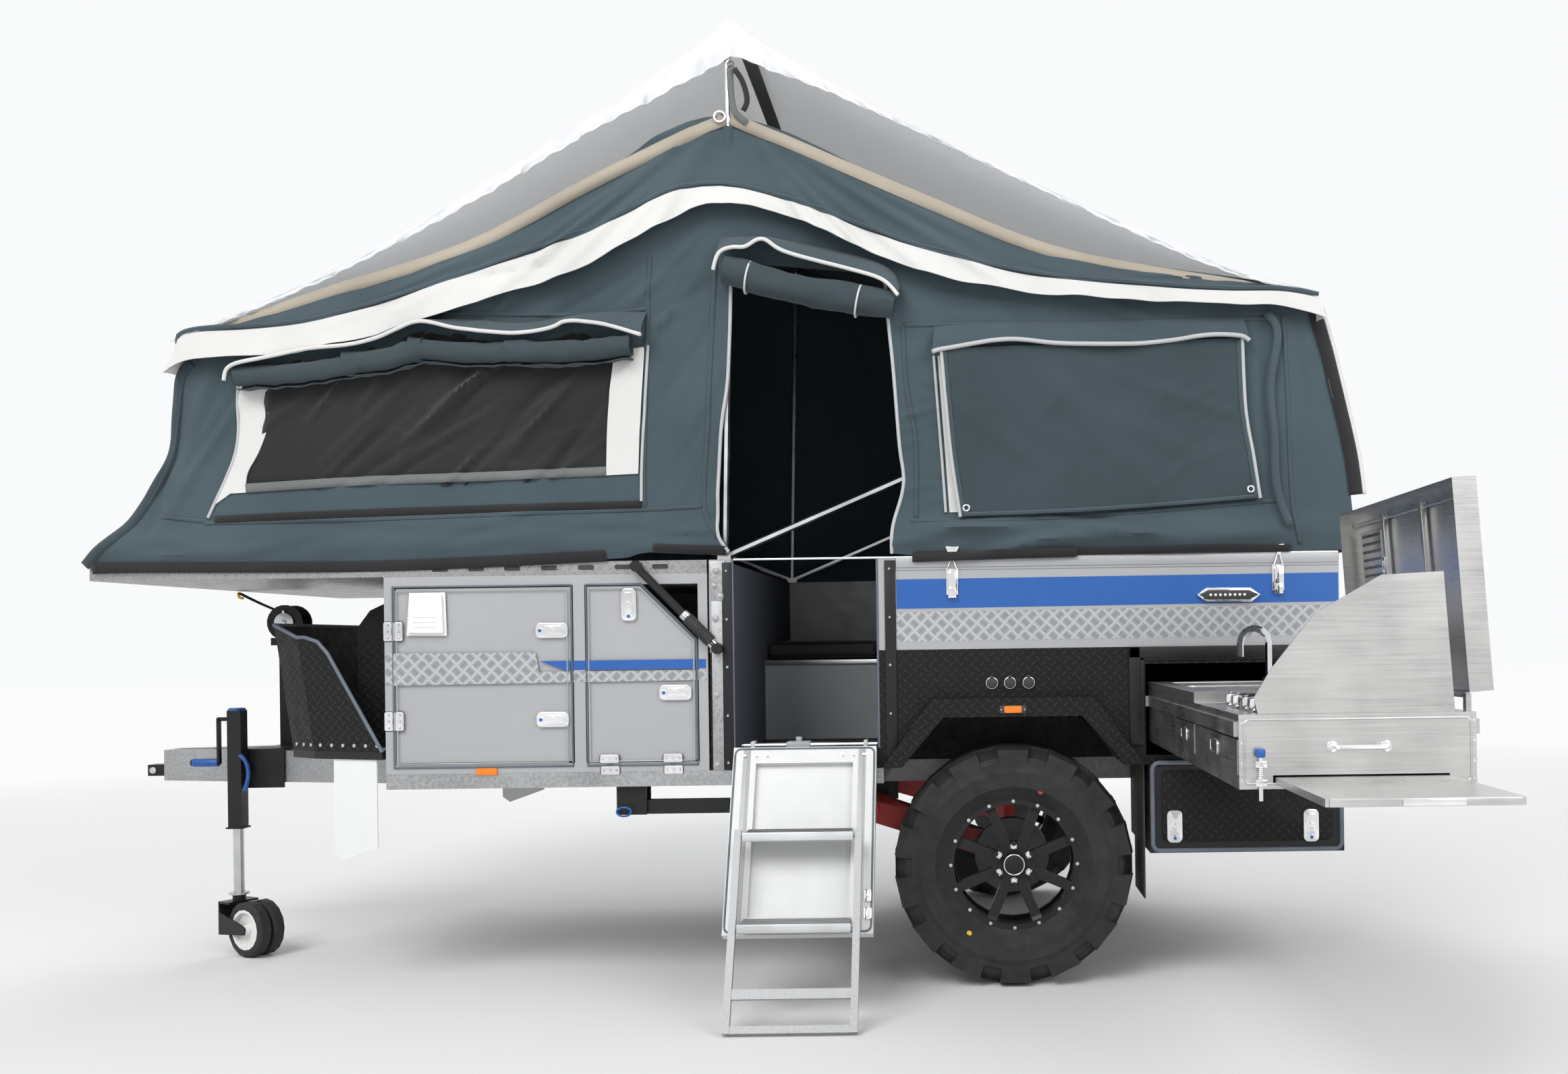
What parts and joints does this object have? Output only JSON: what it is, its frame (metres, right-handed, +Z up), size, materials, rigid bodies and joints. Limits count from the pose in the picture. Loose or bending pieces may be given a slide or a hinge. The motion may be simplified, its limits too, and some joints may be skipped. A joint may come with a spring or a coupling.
{
  "type": "forward-fold camper trailer",
  "caption": "Off-road camper trailer with a fold-out bed platform, a tall tent, a slide-out kitchen and entry steps, standing on its wheels and a jockey wheel.",
  "frame": {"origin": "middle of the cross bore of the tow coupling, 683 mm above the ground", "axes": "+X from the coupling to the rear, +Y to the far side (the entry door and kitchen are on -Y), +Z up"},
  "size_m": [4.552, 3.908, 3.227],
  "materials": {
    "galvanised": "galvanised steel",
    "black_paint": "black powder coat",
    "checker_black": "black painted checker plate",
    "checker_silver": "checker plate",
    "black_webbing": "webbing",
    "flap_plastic": "frosted plastic",
    "silver_paint": "silver paint",
    "blue_lining": "carpet lining",
    "grey_board": "grey laminate",
    "cushion_cloth": "foam in a dark cover",
    "rubber": "black rubber",
    "white_plastic": "moulded",
    "tyre": "black",
    "white_panel": "white inner skin",
    "aluminium": "ribbed",
    "stainless": "brushed stainless steel",
    "chrome": "polished",
    "canvas": "proofed canvas",
    "fly_cloth": "silver coated fly cloth",
    "pole_silver": "zinc-plated tube",
    "red_plastic": "lamp lens",
    "red_paint": "red powder coat",
    "cast_iron": "machined",
    "zinc_tube": "zinc plate"
  },
  "bodies": {
    "trailer": {"chassis_frame": "galvanised", "coupling": "black_paint", "stone_guard": "checker_black", "guard_frame": "black_paint", "front_locker": "checker_black", "winch_post": "black_paint", "winch": "black_paint", "winch_strap": "black_webbing", "front_flaps": "flap_plastic", "side_lockers": "silver_paint", "bed_platform": "checker_silver", "platform_stays": "black_paint", "cabin_tub": "checker_black", "cabin_ring": "silver_paint", "bulkhead": "blue_lining", "seat_box": "grey_board", "seat_cushion": "cushion_cloth", "arch_flares": "checker_black", "rear_flaps": "rubber", "storage_box": "black_paint", "jack_bracket": "black_paint", "stabiliser_hangers": "black_paint", "kitchen_slides": "galvanised", "tent_canvas": "canvas", "tent_fly": "fly_cloth", "fly_poles": "pole_silver", "tent_bows": "pole_silver", "tail_lamps": "red_plastic", "trailing_arms": "red_paint", "arm_hangers": "black_paint", "brake_drums": "cast_iron"},
    "wheel_near": {"tyre_near": "tyre", "rim_near": "black_paint"},
    "wheel_far": {"tyre_far": "tyre", "rim_far": "black_paint"},
    "large_door_near": {"large_door_near": "silver_paint"},
    "large_door_far": {"large_door_far": "silver_paint"},
    "small_door_near": {"small_door_near": "silver_paint"},
    "small_door_far": {"small_door_far": "silver_paint"},
    "storage_door": {"storage_door": "black_paint"},
    "entry_door": {"entry_door": "white_panel"},
    "tread_upper": {"tread_upper": "aluminium"},
    "tread_lower": {"tread_lower": "aluminium"},
    "step_legs": {"step_legs": "galvanised"},
    "stabiliser_near": {"stabiliser_near": "black_paint"},
    "stabiliser_far": {"stabiliser_far": "black_paint"},
    "jack_swing": {"jack_tube": "black_paint"},
    "jack_slide": {"jack_leg": "zinc_tube"},
    "jockey_swivel": {"jockey_fork": "black_paint"},
    "jockey_wheels": {"jockey_hubs": "white_plastic", "jockey_tyres": "tyre"},
    "kitchen": {"kitchen_box": "stainless", "tap_and_burners": "chrome", "lid_ears": "stainless", "wind_guard": "stainless"},
    "kitchen_lid": {"kitchen_lid": "stainless"},
    "kitchen_tray": {"kitchen_tray": "stainless"},
    "drawer_front": {"drawer_front": "stainless"},
    "drawer_back": {"drawer_back": "stainless"}
  },
  "joints": [
    {"name": "wheel_near_spin", "type": "hinge", "parent": "trailer", "child": "wheel_near", "pos_m": [3.38, -0.8175, -0.281], "axis": [0, 1, 0], "continuous": true},
    {"name": "wheel_far_spin", "type": "hinge", "parent": "trailer", "child": "wheel_far", "pos_m": [3.38, 0.8175, -0.281], "axis": [0, 1, 0], "continuous": true},
    {"name": "large_door_near_open", "type": "hinge", "parent": "trailer", "child": "large_door_near", "pos_m": [1.334, -0.955, 0.378], "axis": [0, 0, -1], "range_deg": [0, 100]},
    {"name": "large_door_far_open", "type": "hinge", "parent": "trailer", "child": "large_door_far", "pos_m": [1.334, 0.955, 0.378], "axis": [0, 0, 1], "range_deg": [0, 100]},
    {"name": "small_door_near_open", "type": "hinge", "parent": "trailer", "child": "small_door_near", "pos_m": [2.153, -0.955, 0.083], "axis": [1, 0, 0], "range_deg": [0, 90]},
    {"name": "small_door_far_open", "type": "hinge", "parent": "trailer", "child": "small_door_far", "pos_m": [2.153, 0.955, 0.083], "axis": [-1, 0, 0], "range_deg": [0, 90]},
    {"name": "storage_door_open", "type": "hinge", "parent": "trailer", "child": "storage_door", "pos_m": [4.15, -0.962, 0.056], "axis": [-1, 0, 0], "range_deg": [0, 85]},
    {"name": "entry_door_close", "type": "hinge", "parent": "trailer", "child": "entry_door", "pos_m": [2.6965, -0.956, 0.114], "axis": [-1, 0, 0], "range_deg": [0, 153]},
    {"name": "step_fold", "type": "hinge", "parent": "entry_door", "child": "tread_upper", "pos_m": [2.6965, -1.1533, -0.1323], "axis": [-1, 0, 0], "range_deg": [0, 117]},
    {"name": "lower_step_fold", "type": "hinge", "parent": "entry_door", "child": "tread_lower", "pos_m": [2.6965, -1.2854, -0.3915], "axis": [-1, 0, 0], "range_deg": [0, 117]},
    {"name": "step_legs_fold", "type": "hinge", "parent": "tread_upper", "child": "step_legs", "pos_m": [2.6965, -1.2229, -0.1323], "axis": [-1, 0, 0], "range_deg": [-117, 0]},
    {"name": "stabiliser_near_drop", "type": "hinge", "parent": "trailer", "child": "stabiliser_near", "pos_m": [2.107, -0.89, -0.071], "axis": [0, 1, 0], "range_deg": [0, 90]},
    {"name": "stabiliser_far_drop", "type": "hinge", "parent": "trailer", "child": "stabiliser_far", "pos_m": [2.107, 0.89, -0.071], "axis": [0, 1, 0], "range_deg": [0, 90]},
    {"name": "jack_swing_up", "type": "hinge", "parent": "trailer", "child": "jack_swing", "pos_m": [0.445, -0.219, 0.017], "axis": [0, 1, 0], "range_deg": [0, 90]},
    {"name": "jack_wind", "type": "slide", "parent": "jack_swing", "child": "jack_slide", "axis": [0, 0, 1], "range_m": [0, 0.2]},
    {"name": "jockey_swivel", "type": "hinge", "parent": "jack_slide", "child": "jockey_swivel", "pos_m": [0.445, -0.245, -0.457], "axis": [0, 0, 1], "continuous": true},
    {"name": "jockey_spin", "type": "hinge", "parent": "jockey_swivel", "child": "jockey_wheels", "pos_m": [0.5325, -0.2935, -0.5785], "axis": [0.4848, 0.8746, 0], "continuous": true},
    {"name": "kitchen_slide", "type": "slide", "parent": "trailer", "child": "kitchen", "axis": [0, 1, 0], "range_m": [0, 0.45]},
    {"name": "kitchen_lid_close", "type": "hinge", "parent": "kitchen", "child": "kitchen_lid", "pos_m": [4.363, -1.97, 0.331], "axis": [0, -1, 0], "range_deg": [0, 86]},
    {"name": "tray_slide", "type": "slide", "parent": "kitchen", "child": "kitchen_tray", "axis": [0, 1, 0], "range_m": [0, 0.44]},
    {"name": "drawer_front_open", "type": "slide", "parent": "kitchen", "child": "drawer_front", "axis": [-1, 0, 0], "range_m": [0, 0.3]},
    {"name": "drawer_back_open", "type": "slide", "parent": "kitchen", "child": "drawer_back", "axis": [-1, 0, 0], "range_m": [0, 0.3]}
  ],
  "couplings": [
    {"joint": "lower_step_fold", "follows": "step_fold", "ratio": 1},
    {"joint": "step_legs_fold", "follows": "step_fold", "ratio": -1}
  ]
}
